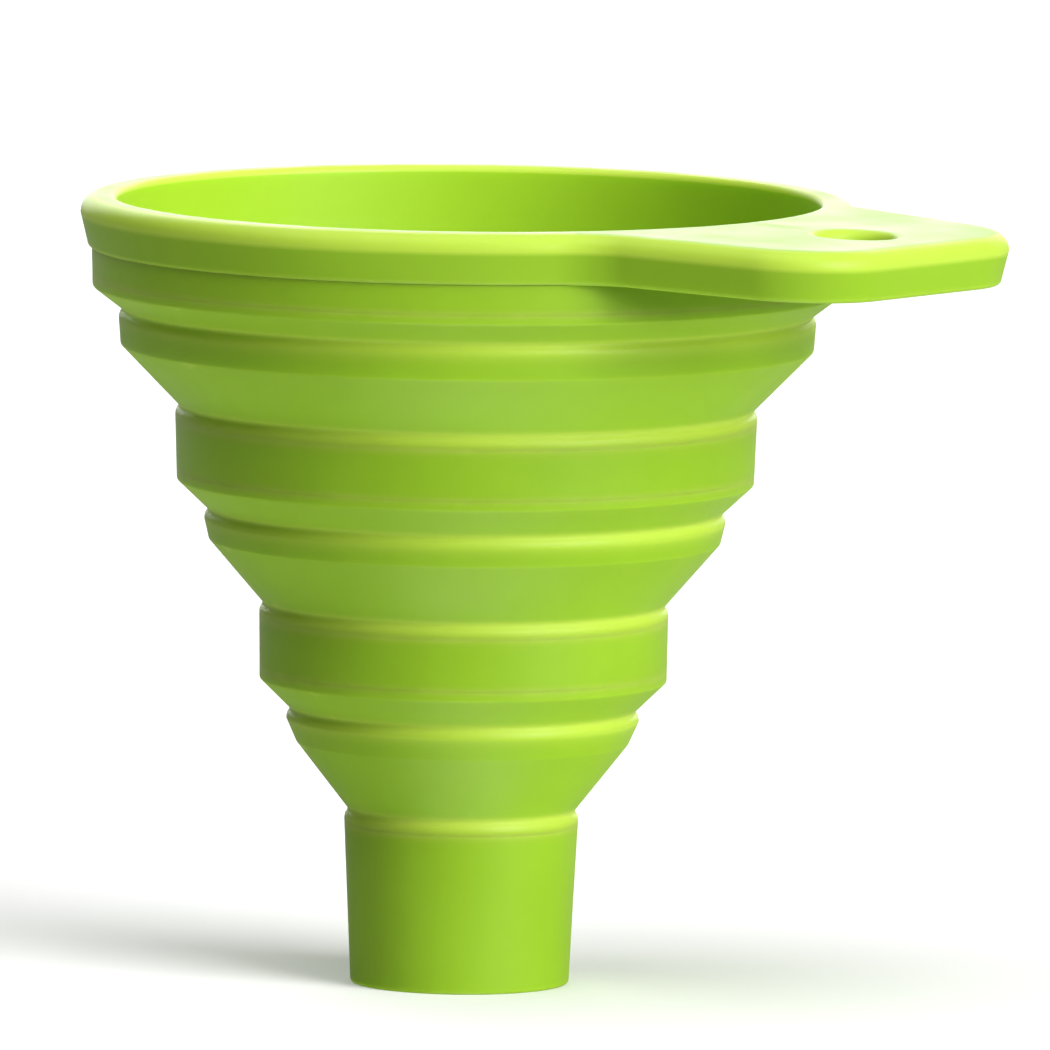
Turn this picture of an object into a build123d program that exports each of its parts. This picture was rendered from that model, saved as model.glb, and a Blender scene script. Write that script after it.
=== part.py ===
from build123d import *
import math
import os

# Collapsible silicone funnel. Millimetres, +Z up, origin on the axis at the spout's lower end,
# hang tab along +X. Every radius is measured to the outside of a wall unless its name says bore
# or mouth. Each tier of the wall is a shoulder, a step ring, a fold cone and its living hinge,
# and then a stiff band: the funnel folds where the cones meet the bands.

# Rim, collar and hang tab
rim_radius = 50.0
flange_thickness = 6.6
flange_draft = 0.9          # how much the flange's side comes in from its top edge to its bottom edge
flange_top_round = 2.2
flange_bottom_round = 0.7
mouth_wall = 4.9            # rim's outer edge in to the mouth
mouth_round = 0.8
collar_ledge = 1.8          # how far the collar stands in from the rim's outer edge
collar_height = 5.0
collar_draft = 0.15

tab_reach = 25.3            # beyond the rim's outer edge
tab_root_width = 52.0       # where the tab crosses the rim's outer edge
tab_end_width = 41.0
tab_corner = 13.5
tab_root_fillet = 12.0
tab_let_in = 2.4            # how far the tab is let into the flange
tab_let_in_margin = 1.3     # degrees that the let-in part is wider than the root fillets
hang_hole_radius = 5.0
hang_hole_to_end = 12.8     # hole's centre to the tab's end edge
hang_hole_round = 0.9

# Tiers from the top down: upper, middle, lower. The lowest tier ends in the spout, not a band.
# A run is how far a slope comes in, a drop how far it goes down.
tiers = ("upper", "middle", "lower")
shoulder_run = (3.9, 4.1, 4.0)
shoulder_drop = (2.95, 3.85, 3.9)
step_height = (4.5, 3.8, 4.2)
step_draft = (0.25, 0.6, 1.3)
cone_run = (7.6, 7.1, 6.8)
cone_drop = (7.8, 8.2, 8.7)
band_height = (9.5, 9.7)
band_draft = (0.3, 0.1)

spout_length = 22.3
spout_draft = 1.0
spout_bore_radius = 12.0
spout_lead_in = 1.2         # chamfer at the top of the bore
spout_end_round = 0.5

# Walls, the rounded lip at the top of every ring, and the room that a tier needs to fold
ring_wall = 2.0
cone_wall = 1.3             # at the cone's foot
hinge_wall = 0.9
lip_height = 1.3
lip_out = 0.5               # how far a ring stands out from the slope above it
fold_clearance = 0.4        # a cone's foot to the ring that it passes as its tier folds down

# Heights from the spout's end, and radii from the rim's outer edge
fold_drop = [sum(drops) for drops in zip(shoulder_drop, step_height, cone_drop)]
collar_z = spout_length + sum(fold_drop) + sum(band_height)
flange_z = collar_z + collar_height
rim_z = flange_z + flange_thickness
mouth_radius = rim_radius - mouth_wall
collar_radius = rim_radius - collar_ledge
tab_end_x = rim_radius + tab_reach

os.makedirs("parts", exist_ok=True)


def save(piece, name):
    piece.part.label = name
    export_step(piece.part, f"parts/{name}.step")


def web(name, top_radius, top_z, run, drop, top_width, low_width):
    """Thin conical ring that comes in by run as it goes down by drop. Its widths are level, at its
    top and at its foot. Returns its lowest outside radius and height."""
    low_radius, low_z = top_radius - run, top_z - drop
    with BuildPart() as ring:
        with BuildSketch(Plane.XZ):
            with BuildLine():
                Polyline(
                    (top_radius - top_width, top_z),
                    (top_radius, top_z),
                    (low_radius, low_z),
                    (low_radius - low_width, low_z),
                    close=True,
                )
            make_face()
        revolve(axis=Axis.Z)
    save(ring, name)
    return low_radius, low_z


def stiff_ring(name, slope_radius, top_z, height, draft):
    """Near-upright ring under a slope, which it stands out from by a rounded lip. Returns its lowest
    outside radius and height."""
    ring_radius = slope_radius + lip_out
    low_radius, low_z = ring_radius - draft, top_z - height
    lip_foot = (ring_radius, top_z - lip_height)
    with BuildPart() as ring:
        with BuildSketch(Plane.XZ):
            with BuildLine():
                TangentArc(lip_foot, (slope_radius, top_z), tangent=(0, 1))
                Polyline(
                    lip_foot,
                    (low_radius, low_z),
                    (low_radius - ring_wall, low_z),
                    (ring_radius - ring_wall, top_z),
                    (slope_radius, top_z),
                )
            make_face()
        revolve(axis=Axis.Z)
    save(ring, name)
    return low_radius, low_z


def folding_cone(tier, top_radius, top_z, run, drop):
    """Fold cone down to its foot, and the living hinge from the foot to the band below. The foot
    stops where its inside clears the band. Returns the hinge's lowest outside radius and height."""
    level_per_wall = math.hypot(run, drop) / drop
    cone_width, hinge_width = cone_wall * level_per_wall, hinge_wall * level_per_wall
    hinge_run = lip_out + fold_clearance + cone_width
    hinge_drop = hinge_run * drop / run
    foot_radius, foot_z = web(
        f"{tier}_cone", top_radius, top_z, run - hinge_run, drop - hinge_drop, ring_wall, cone_width
    )
    return web(f"{tier}_hinge", foot_radius, foot_z, hinge_run, hinge_drop, hinge_width, hinge_width)


# Tab's sides: how they slant, how near they pass to the axis, and where, well inside the rim
tab_side_slope = (tab_root_width - tab_end_width) / 2 / tab_reach
tab_side_angle = math.atan(tab_side_slope)
tab_side_distance = (tab_root_width / 2 + tab_side_slope * rim_radius) * math.cos(tab_side_angle)
tab_start_x = tab_side_distance * math.sin(tab_side_angle)
tab_start_width = 2 * tab_side_distance * math.cos(tab_side_angle)

# Rim blank: the rim's disc and the tab in one outline, with the mouth and the hang hole
with BuildPart() as rim_blank:
    with BuildSketch(Plane.XY.offset(rim_z)) as outline:
        Circle(rim_radius)
        with BuildLine():
            Polyline(
                (tab_start_x, tab_start_width / 2),
                (tab_end_x, tab_end_width / 2),
                (tab_end_x, -tab_end_width / 2),
                (tab_start_x, -tab_start_width / 2),
                close=True,
            )
        make_face()
        end_corners = outline.vertices().group_by(Axis.X)[-1]
        fillet(end_corners, tab_corner)
        root_corners = outline.vertices().filter_by(lambda corner: tab_start_x < corner.X < rim_radius)
        fillet(root_corners, tab_root_fillet)
    extrude(amount=-flange_thickness, taper=math.degrees(math.atan(flange_draft / flange_thickness)))
    fillet(rim_blank.edges().group_by(Axis.Z)[-1], flange_top_round)
    fillet(rim_blank.edges().group_by(Axis.Z)[0], flange_bottom_round)
    with Locations((0, 0, rim_z)):
        Hole(mouth_radius, flange_thickness)
    with Locations((tab_end_x - hang_hole_to_end, 0, rim_z)):
        Hole(hang_hole_radius, flange_thickness)
    circles = rim_blank.edges().filter_by(GeomType.CIRCLE)
    hang_hole_edges = circles.filter_by(lambda edge: math.isclose(edge.radius, hang_hole_radius))
    fillet(hang_hole_edges, hang_hole_round)
    mouth_edge = circles.filter_by(lambda edge: math.isclose(edge.radius, mouth_radius))
    fillet(mouth_edge.sort_by(Axis.Z)[-1], mouth_round)

# The tab's share of the blank: a sector just wider than its root fillets, let into the flange
side_to_fillet = math.acos((tab_side_distance + tab_root_fillet) / (rim_radius + tab_root_fillet))
fillet_angle = math.pi / 2 - tab_side_angle - side_to_fillet
sector_angle = fillet_angle + math.radians(tab_let_in_margin)
with BuildPart() as tab_sector:
    with BuildSketch(Plane.XY.offset(flange_z)):
        with BuildLine():
            Polyline(
                (0, 0),
                (tab_end_x, tab_end_x * math.tan(sector_angle)),
                (tab_end_x, -tab_end_x * math.tan(sector_angle)),
                close=True,
            )
        make_face()
        Circle(rim_radius - tab_let_in, mode=Mode.SUBTRACT)
    extrude(amount=flange_thickness)

with BuildPart() as rim_flange:
    add(rim_blank.part)
    add(tab_sector.part, mode=Mode.SUBTRACT)
save(rim_flange, "rim_flange")

with BuildPart() as hang_tab:
    add(rim_blank.part)
    add(tab_sector.part, mode=Mode.INTERSECT)
save(hang_tab, "hang_tab")

# Collar under the flange, flush with the mouth inside
with BuildPart() as rim_collar:
    with BuildSketch(Plane.XZ):
        with BuildLine():
            Polyline(
                (mouth_radius, flange_z),
                (collar_radius, flange_z),
                (collar_radius - collar_draft, collar_z),
                (mouth_radius - collar_draft, collar_z),
                close=True,
            )
        make_face()
    revolve(axis=Axis.Z)
save(rim_collar, "rim_collar")

# Three folding tiers, each starting where the one above it ends
radius, height = collar_radius - collar_draft, collar_z
width_above = collar_radius - mouth_radius
for index, tier in enumerate(tiers):
    run, drop = shoulder_run[index], shoulder_drop[index]
    radius, height = web(f"{tier}_shoulder", radius, height, run, drop, width_above, ring_wall)
    radius, height = stiff_ring(f"{tier}_step", radius, height, step_height[index], step_draft[index])
    radius, height = folding_cone(tier, radius, height, cone_run[index], cone_drop[index])
    if index < len(band_height):
        radius, height = stiff_ring(f"{tier}_band", radius, height, band_height[index], band_draft[index])
        width_above = ring_wall

# Spout: lipped like the bands, tapered outside, with a straight bore
spout_radius = radius + lip_out
spout_lip_foot = (spout_radius, height - lip_height)
with BuildPart() as spout:
    with BuildSketch(Plane.XZ):
        with BuildLine():
            TangentArc(spout_lip_foot, (radius, height), tangent=(0, 1))
            Polyline(
                spout_lip_foot,
                (spout_radius - spout_draft, height - spout_length),
                (spout_bore_radius, height - spout_length),
                (spout_bore_radius, height - spout_lead_in),
                (spout_bore_radius + spout_lead_in, height),
                (radius, height),
            )
        make_face()
    revolve(axis=Axis.Z)
    fillet(spout.edges().group_by(Axis.Z)[0].sort_by(SortBy.RADIUS)[-1], spout_end_round)
save(spout, "spout")
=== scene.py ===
import math
import bmesh
import bpy
from mathutils import Matrix, Vector, noise
from mathutils.geometry import tessellate_polygon


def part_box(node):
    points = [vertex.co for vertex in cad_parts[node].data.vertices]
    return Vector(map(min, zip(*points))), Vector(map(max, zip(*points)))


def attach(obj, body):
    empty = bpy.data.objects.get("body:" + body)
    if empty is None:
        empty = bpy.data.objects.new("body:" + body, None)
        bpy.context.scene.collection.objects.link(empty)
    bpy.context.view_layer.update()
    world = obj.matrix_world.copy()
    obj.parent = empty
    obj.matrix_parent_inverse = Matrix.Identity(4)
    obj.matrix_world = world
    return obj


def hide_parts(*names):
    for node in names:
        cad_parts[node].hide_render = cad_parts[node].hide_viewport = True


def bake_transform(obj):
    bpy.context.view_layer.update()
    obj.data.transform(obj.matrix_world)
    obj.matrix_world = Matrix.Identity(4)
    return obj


# Collapsible silicone funnel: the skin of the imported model. Metres, in the CAD's frame: +Z up,
# origin on the axis at the spout's end, hang tab along +X.

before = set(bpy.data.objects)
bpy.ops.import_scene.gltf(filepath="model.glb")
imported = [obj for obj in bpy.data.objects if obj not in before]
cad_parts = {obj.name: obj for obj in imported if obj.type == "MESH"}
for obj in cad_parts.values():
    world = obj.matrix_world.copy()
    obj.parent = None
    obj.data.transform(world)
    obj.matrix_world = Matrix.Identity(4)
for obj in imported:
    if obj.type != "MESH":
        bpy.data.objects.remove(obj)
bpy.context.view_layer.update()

MM = 0.001
AROUND = 288                    # points round each turned ring
STEP = 0.5 * MM                 # longest stretch of a profile between two points
TINY = 0.002 * MM               # less than this apart is the same place

# Corners of a profile
CORNER_TURN = math.radians(9)   # turn from one point of a rounded corner to the next
CORNER_LEAST_STEPS = 3
CORNER_LEAST_TURN = 0.02        # radians: a corner that turns by less stays a point
CORNER_SHARE = 0.45             # most of a stretch that the rounded corner at one end may take

# Shape that the frame's boxes don't give: the wall
EDGE_ROUND = 0.55 * MM          # outward corners
CREASE_ROUND = 0.35 * MM        # inward corners
LIP_CREASE_ROUND = 0.9 * MM     # inward corner between a slope and the lip below it
SEAM_RISE = 1.2 * MM            # how far above a ring's lower edge its fold piece starts
SEAM_DROP = 0.5 * MM            # how far below a ring's rounded lip that fold piece ends
LIP_SHARE = 0.5                 # part of a lip's arc that its crease leaves free
LIP_STEPS = 6
SPOUT_END = 1 * MM              # height of the spout's end with its rounding

# The rim and its tab
FLANGE_ROUND = 2.2 * MM
FLANGE_DRAFT = 0.9 * MM
FLANGE_FOOT_ROUND = 0.7 * MM
MOUTH_ROUND = 0.9 * MM
FLAT_EDGE = 0.3 * MM            # strip round the flat faces that keeps their shading flat
UNDER_EDGE = 0.03 * MM          # the same strip at the narrow ledge under the flange
COLLAR_CREASE = 0.1 * MM        # rounding between the flange and the collar
TAB_ROOT_WIDTH = 52 * MM
TAB_END_WIDTH = 41 * MM
TAB_CORNER = 13.5 * MM
TAB_ROOT_FILLET = 12 * MM
TAB_SAG = math.radians(1.9)     # how far the soft tab hangs below the rim's plane
TAB_SAG_START = 44 * MM
TAB_SAG_BEND = 8 * MM           # over how much of its length it bends down to that
HOLE_RADIUS = 5 * MM
HOLE_TO_END = 12.8 * MM
HOLE_ROUND = 1.1 * MM

# How finely the rim is divided
TAB_CORNER_STEPS = 14
TAB_ROOT_STEPS = 16
RIM_STEPS = 150                 # round half the rim, from the tab to the far side
SIDE_STEPS = 6                  # down the flange's side
EDGE_STEPS = 8                  # round an edge
FOOT_STEPS = 5
CREASE_STEPS = 4
FILL_STEP = 2.5 * MM            # longest edge inside the flat top and underside
FILL_PASSES = 7

# Painted light, as vertex attributes that the material reads: highlights along the lips and rim edges, and
# a brighter inside
HIGHLIGHT_ABOVE = 0.45 * MM          # how far the painted highlight at a lip fades out above its crease
HIGHLIGHT_BELOW = 1.5 * MM           # and below it
HIGHLIGHT_DEPTH = 1.25 * MM          # how near the crease's radius a vertex is that belongs to the line
RIM_HIGHLIGHT = 0.75                 # strength of the painted highlight on the rim's rounded outer edge, where a lip's is 1
FLAT_NORMAL = 0.98              # a normal more upright than this is a flat face's
INSIDE_PAINTED_LIGHT_FADE = 2.0               # how fast the painted light on the inside fades in as a wall turns inwards

SHARP = math.radians(40)        # an edge that turns by more isn't shaded smooth
WOBBLE = 0.07 * MM              # how far a soft moulding strays from a true circle
WOBBLE_SCALE = 45.0             # waves per metre
WOBBLE_PLACE = Vector((3.1, 7.7, 1.3))      # which part of the noise that is


# ---------------------------------------------------------------- profiles

def turned_points(node):
    """(radius, height) of every vertex of a turned CAD node."""
    return [(v.co.xy.length, v.co.z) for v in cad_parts[node].data.vertices]


def edge_radii(node, at_top):
    """(inner, outer) radius of a turned CAD node at its top or bottom edge, and that edge's height."""
    low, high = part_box(node)
    edge_z = high.z if at_top else low.z
    radii = [r for r, z in turned_points(node) if abs(z - edge_z) < TINY]
    return min(radii), max(radii), edge_z


def corner(points, at, radius):
    """Points of an arc that rounds the corner at points[at]; the point itself where it can't."""
    here = Vector(points[at])
    before = Vector(points[at - 1]) - here
    after = Vector(points[at + 1]) - here
    turn = math.pi - before.angle(after)
    if radius <= 0 or turn < CORNER_LEAST_TURN:
        return [here]
    reach = min(radius * math.tan(turn / 2), CORNER_SHARE * before.length, CORNER_SHARE * after.length)
    radius = reach / math.tan(turn / 2)
    start, end = here + before.normalized() * reach, here + after.normalized() * reach
    towards = (before.normalized() + after.normalized()).normalized()
    centre = here + towards * math.hypot(radius, reach)
    steps = max(CORNER_LEAST_STEPS, round(turn / CORNER_TURN))
    first, last = start - centre, end - centre
    whole = first.angle_signed(last)
    return [centre + Matrix.Rotation(-whole * k / steps, 2) @ first for k in range(steps + 1)]


def rounded(points):
    """Polyline through (r, z, corner radius) points, with each corner rounded and long runs divided.
    The first and last points stay as they are."""
    flat = [(r, z) for r, z, _ in points]
    line = [Vector(flat[0])]
    for at in range(1, len(points) - 1):
        line += corner(flat, at, points[at][2])
    line.append(Vector(flat[-1]))
    fine = [line[0]]
    for a, b in zip(line, line[1:]):
        pieces = max(1, math.ceil((b - a).length / STEP))
        fine += [a.lerp(b, (k + 1) / pieces) for k in range(pieces)]
    return fine


def lip_foot(node):
    """(radius, height) at which a ring's rounded lip meets its upright side."""
    radius = max(r for r, _ in turned_points(node))
    return radius, max(z for r, z in turned_points(node) if radius - r < TINY)


def bore_top(node):
    """(radius, height) at which the narrowest part of a ring's inside ends."""
    radius = min(r for r, _ in turned_points(node))
    return radius, max(z for r, z in turned_points(node) if r - radius < TINY)


def lip(node):
    """(r, z, corner radius) points of a ring's rounded lip, from the slope above it to its side."""
    _, slope_radius, top_z = edge_radii(node, True)
    foot_radius, foot_z = lip_foot(node)
    out, height = foot_radius - slope_radius, top_z - foot_z
    radius = (height ** 2 + out ** 2) / (2 * out)
    whole = LIP_SHARE * math.asin(height / radius)
    points = [(slope_radius, top_z, LIP_CREASE_ROUND)]
    for k in range(LIP_STEPS, -1, -1):
        angle = whole * k / LIP_STEPS
        points.append((foot_radius - radius * (1 - math.cos(angle)), foot_z + radius * math.sin(angle), 0))
    return points


def seam_height(node):
    """Height at which the piece above a ring's lower edge ends and the fold piece starts."""
    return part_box(node)[0].z + SEAM_RISE


def between(a, b, share):
    return a + (b - a) * share


def wall_at(node, z):
    """(inner, outer) radius of a ring's wall at height z, at or below its lip."""
    top_in, _, top_z = edge_radii(node, True)
    _, low_out, low_z = edge_radii(node, False)
    foot_radius, foot_z = lip_foot(node)
    bore, bore_z = bore_top(node)
    inside = between(bore, top_in, max(0, z - bore_z) / (top_z - bore_z))
    return inside, between(foot_radius, low_out, (foot_z - z) / (foot_z - low_z))


# ---------------------------------------------------------------- mesh pieces

LIPPED = ("upper_step", "middle_step", "lower_step", "upper_band", "middle_band", "spout")
LIP_CREASES = [edge_radii(node, True)[1:] for node in LIPPED]      # (radius, height) above each lip


def lip_painted_highlight(radius, z):
    """Strength of the painted highlight at a place, from the lips' creases near it."""
    highlight = 0.0
    for crease_radius, crease_z in LIP_CREASES:
        if abs(radius - crease_radius) < HIGHLIGHT_DEPTH:
            rise = z - crease_z
            fade = HIGHLIGHT_ABOVE if rise > 0 else HIGHLIGHT_BELOW
            highlight = max(highlight, math.exp(-((rise / fade) ** 2)))
    return highlight


def mark_painted_light(bm):
    """Vertex attributes of painted light: a painted highlight, strongest along each lip's crease and on the
    rim's rounded edges; and inside, 1 on the funnel's inner side, painted brighter in place of light that
    comes through the wall."""
    bmesh.ops.recalc_face_normals(bm, faces=bm.faces)
    bm.normal_update()
    painted_highlight = bm.verts.layers.float.new("painted_highlight")
    inside = bm.verts.layers.float.new("inside")
    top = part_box("rim_flange")[1].z
    collar_radius = edge_radii("rim_collar", True)[1]
    for v in bm.verts:
        radius, drop = v.co.xy.length, top - v.co.z
        # painted highlight: strongest along the lips' creases, and on the rim's rounded outer edge and the
        # mouth's rounded edge
        highlight = lip_painted_highlight(radius, v.co.z)
        if radius > collar_radius and TINY < drop < FLANGE_ROUND + TINY and abs(v.normal.z) < FLAT_NORMAL:
            highlight = max(highlight, RIM_HIGHLIGHT)
        if radius < collar_radius and TINY < drop < MOUTH_ROUND:
            highlight = 1.0
        v[painted_highlight] = highlight
        # painted light: the inner side is painted brighter in place of light that comes through the wall
        if radius < collar_radius:
            inward = -v.normal.xy.dot(v.co.xy.normalized())
            v[inside] = max(0.0, min(1.0, INSIDE_PAINTED_LIGHT_FADE * inward))


def stray(vertices):
    """Moves vertices in or out by the moulding's wobble, which depends on the place alone, so that
    pieces still meet."""
    for v in vertices:
        outward = Vector((v.co.x, v.co.y, 0)).normalized()
        v.co += outward * (WOBBLE * noise.noise(Vector(v.co) * WOBBLE_SCALE + WOBBLE_PLACE))


def finish_piece(bm, name):
    """A mesh object from bm, smooth but for its sharp edges."""
    bmesh.ops.recalc_face_normals(bm, faces=bm.faces)
    stray(bm.verts)
    for face in bm.faces:
        face.smooth = True
    for edge in bm.edges:
        edge.smooth = edge.is_manifold and edge.calc_face_angle(0) < SHARP
    mesh = bpy.data.meshes.new(name)
    bm.to_mesh(mesh)
    bm.free()
    piece = bpy.data.objects.new(name, mesh)
    bpy.context.scene.collection.objects.link(piece)
    return piece


def ring_of(bm, radius, z):
    turn = 2 * math.pi / AROUND
    angles = [k * turn for k in range(AROUND)]
    return [bm.verts.new((radius * math.cos(a), radius * math.sin(a), z)) for a in angles]


def join_rings(bm, rings, closed=False):
    pairs = list(zip(rings, rings[1:])) + ([(rings[-1], rings[0])] if closed else [])
    for a, b in pairs:
        for k in range(len(a)):
            n = (k + 1) % len(a)
            bm.faces.new((a[k], a[n], b[n], b[k]))


def turned(name, outside, inside):
    """Closed ring turned from its outside profile, top to bottom, and its inside one, bottom to top."""
    bm = bmesh.new()
    join_rings(bm, [ring_of(bm, r, z) for r, z in outside + inside], closed=True)
    mark_painted_light(bm)
    return finish_piece(bm, name)


def fold_piece(tier, above, below):
    """Folding web of one tier, from the lower edge of the ring above to just under the lip of the
    ring below. Returns it and the heights between which it folds."""
    step = f"{tier}_step"
    start_z = seam_height(above)
    start_in, start_out = wall_at(above, start_z)
    edge_in, edge_out, edge_z = edge_radii(above, False)
    step_in, _, step_z = edge_radii(step, True)
    step_low_in, step_low_out, step_low_z = edge_radii(step, False)
    below_in, _, below_z = edge_radii(below, True)
    end_z = lip_foot(below)[1] - SEAM_DROP
    end_in, end_out = wall_at(below, end_z)
    outside = rounded(
        [(start_out, start_z, 0), (edge_out, edge_z, EDGE_ROUND)]
        + lip(step)
        + [(step_low_out, step_low_z, EDGE_ROUND)]
        + lip(below)
        + [(end_out, end_z, 0)]
    )
    bore, bore_z = bore_top(below)
    bore_end = [(bore, bore_z, EDGE_ROUND)] if bore_z > end_z else []
    inside = rounded(
        [(end_in, end_z, 0), *bore_end, (below_in, below_z, EDGE_ROUND)]
        + [(step_low_in, step_low_z, CREASE_ROUND), (step_in, step_z, EDGE_ROUND)]
        + [(edge_in, edge_z, CREASE_ROUND), (start_in, start_z, 0)]
    )
    return turned(f"{tier}_fold", outside, inside), edge_z, below_z


def band_piece(node):
    """Upright wall of a stiff ring, from under its lip to the seam above its lower edge."""
    top_z = lip_foot(node)[1] - SEAM_DROP
    low_z = seam_height(node)
    top_in, top_out = wall_at(node, top_z)
    low_in, low_out = wall_at(node, low_z)
    outside = rounded([(top_out, top_z, 0), (low_out, low_z, 0)])
    inside = rounded([(low_in, low_z, 0), (top_in, top_z, 0)])
    return turned(node + "_wall", outside, inside)


def spout_piece():
    """Spout below its lip, with a rounded end."""
    low_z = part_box("spout")[0].z
    foot_radius, foot_z = lip_foot("spout")
    bore, _ = bore_top("spout")
    low_radius = max(r for r, z in turned_points("spout") if z < low_z + SPOUT_END)
    middle = (bore + low_radius) / 2
    top_z = foot_z - SEAM_DROP
    top_out = between(foot_radius, low_radius, (foot_z - top_z) / (foot_z - low_z))
    outside = rounded([(top_out, top_z, 0), (low_radius, low_z, EDGE_ROUND), (middle, low_z, 0)])
    inside = rounded([(middle, low_z, 0), (bore, low_z, EDGE_ROUND), (bore, top_z, 0)])[1:]
    return turned("spout_tube", outside, inside)


# ---------------------------------------------------------------- rim and tab

def arc(centre, radius, start, end, steps):
    """[(point, outward normal)] round an arc; a clockwise one is concave, with its normal inward."""
    side = 1 if end > start else -1
    found = []
    for k in range(steps + 1):
        angle = start + (end - start) * k / steps
        way = Vector((math.cos(angle), math.sin(angle)))
        found.append((centre + way * radius, way * side))
    return found


def rim_outline():
    """Rim's disc and its tab as one outline, anticlockwise: [(point, outward normal)]."""
    radius = max(r for r, _ in turned_points("rim_flange"))
    end_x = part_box("hang_tab")[1].x
    slope = (TAB_ROOT_WIDTH - TAB_END_WIDTH) / 2 / (end_x - radius)
    along = Vector((1, -slope)).normalized()
    normal = Vector((-along.y, along.x))
    end_corner = Vector((end_x, TAB_END_WIDTH / 2))

    # root fillet: touches the rim's circle and the tab's side
    on_line = end_corner + normal * TAB_ROOT_FILLET
    b, c = on_line.dot(along), on_line.length_squared - (radius + TAB_ROOT_FILLET) ** 2
    root = on_line - along * (b - math.sqrt(b * b - c))
    rim_angle = math.atan2(root.y, root.x)
    side_angle = math.atan2(-normal.y, -normal.x) % math.tau

    # end corner: touches the end edge, and stands a little outside the tab's slanted side
    reach = (end_x - TAB_CORNER - end_corner.x - TAB_CORNER * normal.x) / along.x
    centre_y = (end_corner + along * reach - normal * TAB_CORNER).y
    centre = Vector((end_x - TAB_CORNER, centre_y))
    corner_angle = math.atan2(normal.y, normal.x)

    half = arc(centre, TAB_CORNER, 0, corner_angle, TAB_CORNER_STEPS)
    half += arc(root, TAB_ROOT_FILLET, side_angle, rim_angle + math.pi, TAB_ROOT_STEPS)
    half += arc(Vector((0, 0)), radius, rim_angle, math.pi, RIM_STEPS)[1:]
    other = [(Vector((p.x, -p.y)), Vector((n.x, -n.y))) for p, n in reversed(half[:-1])]
    return half + other


def loft_outline(bm, outline, profile):
    """Rings of vertices that follow the outline, one for each (inset, z) of the profile."""
    rings = []
    for inset, z in profile:
        rings.append([bm.verts.new((*(p - n * inset), z)) for p, n in outline])
    join_rings(bm, rings)
    return rings


def fill_flat(bm, *loops):
    """Flat patch of triangles between an outer loop of vertices and the loops inside it."""
    flat = [v for loop in loops for v in loop]
    triangles = tessellate_polygon([[v.co for v in loop] for loop in loops])
    return [bm.faces.new([flat[k] for k in triangle]) for triangle in triangles]


def edges_inside(bm, patch):
    """Edges with a face of the patch on both sides."""
    return [e for e in bm.edges if len(e.link_faces) == 2 and all(face in patch for face in e.link_faces)]


def even_out(bm, patch):
    """Turns the edges inside a flat patch so that none of its triangles is a sliver."""
    faces = [face for face in bm.faces if face in patch]
    bmesh.ops.beautify_fill(bm, faces=faces, edges=edges_inside(bm, patch))


def refine(bm, faces):
    """Divides the long edges inside flat patches, so that they can bend with the tab."""
    patch = set(faces)
    even_out(bm, patch)
    for _ in range(FILL_PASSES):
        long_edges = [edge for edge in edges_inside(bm, patch) if edge.calc_length() > FILL_STEP]
        if not long_edges:
            break
        divided = bmesh.ops.subdivide_edges(bm, edges=long_edges, cuts=1)["geom"]
        patch |= {item for item in divided if isinstance(item, bmesh.types.BMFace)}
        patch = {face for face in patch if face.is_valid}
        whole = [face for face in bm.faces if face in patch and len(face.verts) > 3]
        pieces = bmesh.ops.triangulate(bm, faces=whole)
        patch = {face for face in patch if face.is_valid} | set(pieces["faces"])
        even_out(bm, patch)


def quarter(radius, steps=EDGE_STEPS):
    """(inset, drop) pairs of a quarter round, from a flat top to an upright side."""
    turns = [math.pi / 2 * k / steps for k in range(steps + 1)]
    return [(radius * (1 - math.sin(t)), radius * (1 - math.cos(t))) for t in turns]


def sag_tab(bm):
    """Bends the hang tab a little down from its root, as soft silicone hangs. The ring of the rim
    stays level."""
    rim_radius = max(r for r, _ in turned_points("rim_flange"))
    for v in bm.verts:
        beyond = v.co.x - TAB_SAG_START
        if beyond <= 0 or v.co.xy.length < rim_radius - TAB_SAG_BEND:
            continue
        bend = min(beyond, TAB_SAG_BEND)
        hang = math.tan(TAB_SAG) * (bend * bend / (2 * TAB_SAG_BEND) + beyond - bend)
        ring_share = min(1, (v.co.xy.length - rim_radius + TAB_SAG_BEND) / TAB_SAG_BEND)
        v.co.z -= hang * ring_share


def flange_profile(low_z, high_z):
    """(inset, z) from the flat top over the rounded edge and down the drafted side to the underside."""
    profile = [(FLANGE_ROUND + FLAT_EDGE, high_z)]
    profile += [(inset, high_z - drop) for inset, drop in quarter(FLANGE_ROUND)]
    side_top, side_low = high_z - FLANGE_ROUND, low_z + FLANGE_FOOT_ROUND
    for k in range(1, SIDE_STEPS + 1):
        profile.append((FLANGE_DRAFT * k / SIDE_STEPS, side_top + (side_low - side_top) * k / SIDE_STEPS))
    foot = [(FLANGE_DRAFT + inset, low_z + drop) for inset, drop in quarter(FLANGE_FOOT_ROUND, FOOT_STEPS)]
    return profile + foot[::-1][1:] + [(foot[0][0] + UNDER_EDGE, low_z)]


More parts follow.
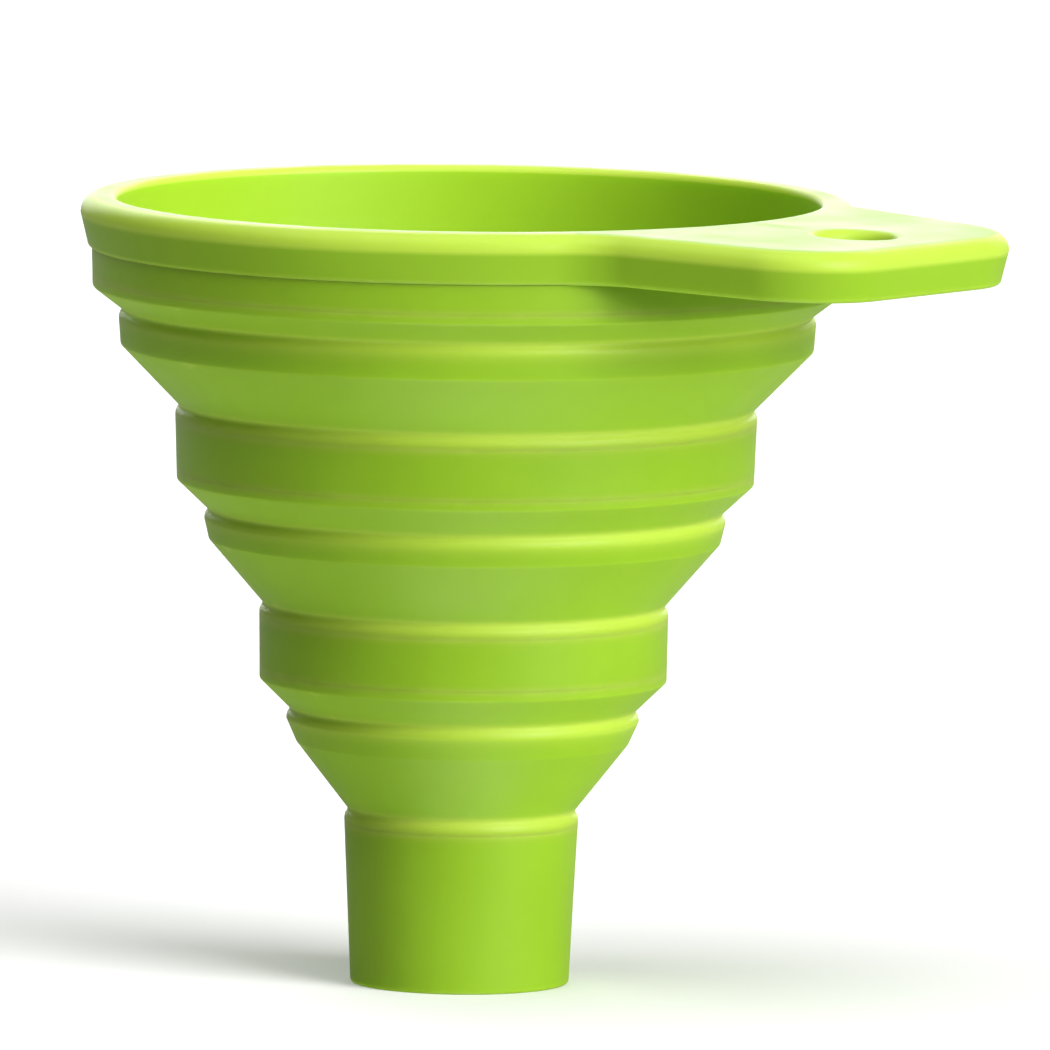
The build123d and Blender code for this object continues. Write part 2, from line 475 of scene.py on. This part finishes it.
def collar_profile(low_z, high_z):
    """(r, z) down the collar's outside, across the seam, and up the mouth to the flat top."""
    seam_z = seam_height("rim_collar")
    mouth, collar_out = edge_radii("rim_collar", True)[:2]
    seam_in, seam_out = wall_at("rim_collar", seam_z)
    profile = [(collar_out + COLLAR_CREASE + UNDER_EDGE, low_z)]
    profile += [(collar_out + inset, low_z - drop) for inset, drop in quarter(COLLAR_CREASE, CREASE_STEPS)]
    collar_side = rounded([(collar_out, low_z - COLLAR_CREASE, 0), (seam_out, seam_z, 0)])
    mouth_side = rounded([(seam_in, seam_z, 0), (mouth, low_z, 0), (mouth, high_z - MOUTH_ROUND, 0)])
    profile += [tuple(p) for p in collar_side[1:] + mouth_side]
    profile += [(mouth + inset, high_z - drop) for inset, drop in quarter(MOUTH_ROUND)[::-1][1:]]
    return profile + [(mouth + MOUTH_ROUND + FLAT_EDGE, high_z)]


def hole_profile(low_z, high_z):
    """(r, z) of the hang hole about its own axis, from the flat top to the underside."""
    edge = [(HOLE_ROUND + FLAT_EDGE, 0)] + quarter(HOLE_ROUND)
    upper = [(HOLE_RADIUS + inset, high_z - drop) for inset, drop in edge]
    return upper + [(HOLE_RADIUS + inset, low_z + drop) for inset, drop in edge[::-1]]


def rim_piece():
    """Flange, hang tab and collar as one skin, down to the first seam."""
    low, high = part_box("rim_flange")
    bm = bmesh.new()
    outer = loft_outline(bm, rim_outline(), flange_profile(low.z, high.z))
    rings = [ring_of(bm, r, z) for r, z in collar_profile(low.z, high.z)]
    join_rings(bm, rings)

    hole_rings = [ring_of(bm, r, z) for r, z in hole_profile(low.z, high.z)]
    hole_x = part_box("hang_tab")[1].x - HOLE_TO_END
    for ring in hole_rings:
        for v in ring:
            v.co.x += hole_x
    join_rings(bm, hole_rings)

    top_faces = fill_flat(bm, outer[0], rings[-1], hole_rings[0])
    under_faces = fill_flat(bm, outer[-1], rings[0], hole_rings[-1])
    refine(bm, top_faces + under_faces)
    mark_painted_light(bm)
    sag_tab(bm)
    return finish_piece(bm, "rim_and_tab")


# ---------------------------------------------------------------- material

DEEP_LIME = (0.215, 0.385, 0.012)
LIGHT_LIME = (0.240, 0.425, 0.016)
# paler colour of convex edges: partly edge wear, partly painted highlight
WORN_AND_HIGHLIGHT_LIME = (0.34, 0.50, 0.05)
# painted highlight along the lips' creases and on the rim's and mouth's rounded edges
HIGHLIGHT_LIME = (0.42, 0.57, 0.06)
# painted light: the inside painted brighter in place of light that comes through the wall
INSIDE_PAINTED_LIGHT_LIME = (0.32, 0.53, 0.022)
# ends of the mask of paler convex edges, which is edge wear and painted highlight
NO_EDGE_MARK = (0, 0, 0)
FULL_EDGE_MARK = (1, 1, 1)
SMOOTHER = (0.40, 0.40, 0.40)
ROUGHER = (0.52, 0.52, 0.52)


def silicone():
    """Moulded silicone: satin, a little translucent, with fine grain and faint colour drift; convex edges
    paler, partly wear and partly painted highlight; painted highlights on the lips and rim edges; and a
    painted brighter inside.
    """
    material = bpy.data.materials.new("lime_silicone")
    material.use_nodes = True
    nodes, links = material.node_tree.nodes, material.node_tree.links
    shader = nodes["Principled BSDF"]
    place = nodes.new("ShaderNodeTexCoord")

    def noise_at(scale, detail, roughness=0.5):
        node = nodes.new("ShaderNodeTexNoise")
        node.inputs["Scale"].default_value = scale
        node.inputs["Detail"].default_value = detail
        node.inputs["Roughness"].default_value = roughness
        links.new(place.outputs["Object"], node.inputs["Vector"])
        return node.outputs["Fac"]

    def ramp(source, start, start_colour, end, end_colour):
        node = nodes.new("ShaderNodeValToRGB")
        first, second = node.color_ramp.elements
        first.position, first.color = start, (*start_colour, 1)
        second.position, second.color = end, (*end_colour, 1)
        links.new(source, node.inputs["Fac"])
        return node.outputs["Color"]

    def tinted(mask, source, tint):
        node = nodes.new("ShaderNodeMix")
        node.data_type = "RGBA"
        links.new(mask, node.inputs["Factor"])
        links.new(source, node.inputs["A"])
        node.inputs["B"].default_value = (*tint, 1)
        return node.outputs["Result"]

    def attribute(name):
        node = nodes.new("ShaderNodeAttribute")
        node.attribute_name = name
        return node.outputs["Fac"]

    def bump(height, strength, distance):
        node = nodes.new("ShaderNodeBump")
        node.inputs["Strength"].default_value = strength
        node.inputs["Distance"].default_value = distance
        links.new(height, node.inputs["Height"])
        return node

    # Convex edges made paler by pointiness and a fine noise: partly edge wear, partly painted highlight
    edges = nodes.new("ShaderNodeNewGeometry")
    wear_and_highlight = nodes.new("ShaderNodeMath")
    wear_and_highlight.operation = "MULTIPLY"
    links.new(ramp(edges.outputs["Pointiness"], 0.505, NO_EDGE_MARK, 0.56, FULL_EDGE_MARK), wear_and_highlight.inputs[0])
    links.new(noise_at(scale=260.0, detail=5.0, roughness=0.6), wear_and_highlight.inputs[1])

    colour = ramp(noise_at(scale=28.0, detail=3.0), 0.35, DEEP_LIME, 0.65, LIGHT_LIME)
    # painted light on the funnel's inside
    colour = tinted(attribute("inside"), colour, INSIDE_PAINTED_LIGHT_LIME)
    # paler convex edges: edge wear and painted highlight
    colour = tinted(wear_and_highlight.outputs[0], colour, WORN_AND_HIGHLIGHT_LIME)
    # painted highlight along the lips and rim edges
    colour = tinted(attribute("painted_highlight"), colour, HIGHLIGHT_LIME)
    links.new(colour, shader.inputs["Base Color"])

    haze = ramp(noise_at(scale=90.0, detail=4.0), 0.3, SMOOTHER, 0.7, ROUGHER)
    links.new(haze, shader.inputs["Roughness"])

    grain = bump(noise_at(scale=2600.0, detail=2.0), strength=0.35, distance=0.03 * MM)
    swell = bump(noise_at(scale=70.0, detail=2.0), strength=0.5, distance=0.3 * MM)
    links.new(grain.outputs["Normal"], swell.inputs["Normal"])
    links.new(swell.outputs["Normal"], shader.inputs["Normal"])

    shader.inputs["Subsurface Weight"].default_value = 0.5
    shader.inputs["Subsurface Radius"].default_value = (0.9, 1.0, 0.25)
    shader.inputs["Subsurface Scale"].default_value = 4 * MM
    shader.inputs["Sheen Weight"].default_value = 0.015
    shader.inputs["Sheen Roughness"].default_value = 0.5
    shader.inputs["Specular IOR Level"].default_value = 0.18
    return material


# ---------------------------------------------------------------- the funnel

def add_funnel():
    skin = silicone()
    rim = rim_piece()
    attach(rim, "rim_body")
    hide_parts("rim_flange", "hang_tab", "rim_collar")
    pieces = [rim]

    folds = (
        ("upper", "rim_collar", "upper_band", "rim_body", "upper_body"),
        ("middle", "upper_band", "middle_band", "upper_body", "middle_body"),
        ("lower", "middle_band", "spout", "middle_body", "spout_body"),
    )
    for tier, above, below, body_above, body_below in folds:
        piece, start_z, end_z = fold_piece(tier, above, below)
        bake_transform(piece)
        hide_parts(*(f"{tier}_{part}" for part in ("shoulder", "step", "cone", "hinge")))
        pieces.append(piece)
    for node, body in (("upper_band", "upper_body"), ("middle_band", "middle_body")):
        piece = band_piece(node)
        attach(piece, body)
        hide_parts(node)
        pieces.append(piece)
    spout = spout_piece()
    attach(spout, "spout_body")
    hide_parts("spout")
    pieces.append(spout)
    for piece in pieces:
        piece.data.materials.append(skin)


# ---------------------------------------------------------------- stage, camera and light

VIEW_AZIMUTH = math.radians(38.1)
VIEW_ELEVATION = math.radians(6.13)
VIEW_ROLL = math.radians(0.72)
FRAME_WIDTH = 134.5 * MM        # what the picture is wide, at the funnel's axis
TARGET_BELOW_RIM = 42.0 * MM
TARGET_RIGHT = 7.7 * MM         # of the funnel's axis
CAMERA_DISTANCE = 3.0
SENSOR = 36.0
CLIP_START = 0.05
CLIP_END = 30

FLOOR_SIZE = 60.0
FLOOR_SEEN = 0.86               # how white the floor looks
FLOOR_BOUNCE = 0.32             # and how white it is to the light that it sends back
WORLD_LIGHT = 0.04              # brightness that the white surroundings light the funnel with
WHITE = (1, 1, 1, 1)


def add_camera():
    a, e = VIEW_AZIMUTH, VIEW_ELEVATION
    back = Vector((math.sin(a) * math.cos(e), -math.cos(a) * math.cos(e), math.sin(e)))
    right = Vector((math.cos(a), math.sin(a), 0))
    up = back.cross(right)
    _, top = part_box("rim_flange")
    target = Vector((0, 0, top.z - TARGET_BELOW_RIM)) + right * TARGET_RIGHT
    data = bpy.data.cameras.new("camera")
    data.sensor_width = SENSOR
    data.lens = CAMERA_DISTANCE * SENSOR / FRAME_WIDTH
    data.clip_start, data.clip_end = CLIP_START, CLIP_END
    camera = bpy.data.objects.new("camera", data)
    turn = Matrix((right, up, back)).transposed() @ Matrix.Rotation(VIEW_ROLL, 3, "Z")
    camera.matrix_world = Matrix.Translation(target + back * CAMERA_DISTANCE) @ turn.to_4x4()
    bpy.context.scene.collection.objects.link(camera)
    bpy.context.scene.camera = camera


def add_sun(name, side, elevation, spread, strength):
    """Far, soft light: side and elevation are its place in degrees, from the main view's own
    direction round to the right and from level up, and spread is its width in degrees."""
    azimuth = VIEW_AZIMUTH + math.radians(side)
    rise = math.radians(elevation)
    towards = Vector(
        (math.sin(azimuth) * math.cos(rise), -math.cos(azimuth) * math.cos(rise), math.sin(rise))
    )
    data = bpy.data.lights.new(name, "SUN")
    data.energy, data.angle = strength, math.radians(spread)
    lamp = bpy.data.objects.new(name, data)
    lamp.location = towards
    lamp.rotation_mode = "QUATERNION"
    lamp.rotation_quaternion = towards.to_track_quat("Z", "Y")
    bpy.context.scene.collection.objects.link(lamp)
    return lamp


def seen_or_not(tree, seen, otherwise, surface):
    """Shows the camera one shader, and every other ray another."""
    ray = tree.nodes.new("ShaderNodeLightPath")
    mix = tree.nodes.new("ShaderNodeMixShader")
    tree.links.new(ray.outputs["Is Camera Ray"], mix.inputs["Fac"])
    tree.links.new(otherwise.outputs[0], mix.inputs[1])
    tree.links.new(seen.outputs[0], mix.inputs[2])
    tree.links.new(mix.outputs["Shader"], surface)


def floor_material():
    """Matt white to look at, which bounces less light than it shows."""
    material = bpy.data.materials.new("floor")
    material.use_nodes = True
    nodes = material.node_tree.nodes
    seen, bounced = nodes.new("ShaderNodeBsdfDiffuse"), nodes.new("ShaderNodeBsdfDiffuse")
    seen.inputs["Color"].default_value = (FLOOR_SEEN, FLOOR_SEEN, FLOOR_SEEN, 1)
    bounced.inputs["Color"].default_value = (FLOOR_BOUNCE, FLOOR_BOUNCE, FLOOR_BOUNCE, 1)
    seen_or_not(material.node_tree, seen, bounced, nodes["Material Output"].inputs["Surface"])
    return material


def add_world():
    """White surroundings to look at, which as a light are dim."""
    world = bpy.data.worlds.new("studio")
    world.use_nodes = True
    nodes = world.node_tree.nodes
    lighting, seen = nodes["Background"], nodes.new("ShaderNodeBackground")
    lighting.inputs["Color"].default_value = WHITE
    lighting.inputs["Strength"].default_value = WORLD_LIGHT
    seen.inputs["Color"].default_value = WHITE
    seen_or_not(world.node_tree, seen, lighting, nodes["World Output"].inputs["Surface"])
    bpy.context.scene.world = world


def add_stage():
    bpy.ops.mesh.primitive_plane_add(size=FLOOR_SIZE)
    floor = bpy.context.object
    floor.name = "floor"
    floor.data.materials.append(floor_material())
    floor.visible_shadow = False        # the bounce light shines up through it
    add_world()
    add_sun("key", side=48, elevation=22, spread=40, strength=4.7)
    add_sun("top", side=-45, elevation=74, spread=60, strength=2.3)
    add_sun("bounce", side=20, elevation=-74, spread=50, strength=2.0)
    add_sun("fill", side=180, elevation=20, spread=50, strength=1.2)
    sheen = add_sun("sheen", side=180, elevation=22, spread=60, strength=1.7)
    sheen.visible_diffuse = False       # it only adds gloss
    bpy.context.scene.view_settings.view_transform = "Standard"


add_funnel()
add_camera()
add_stage()
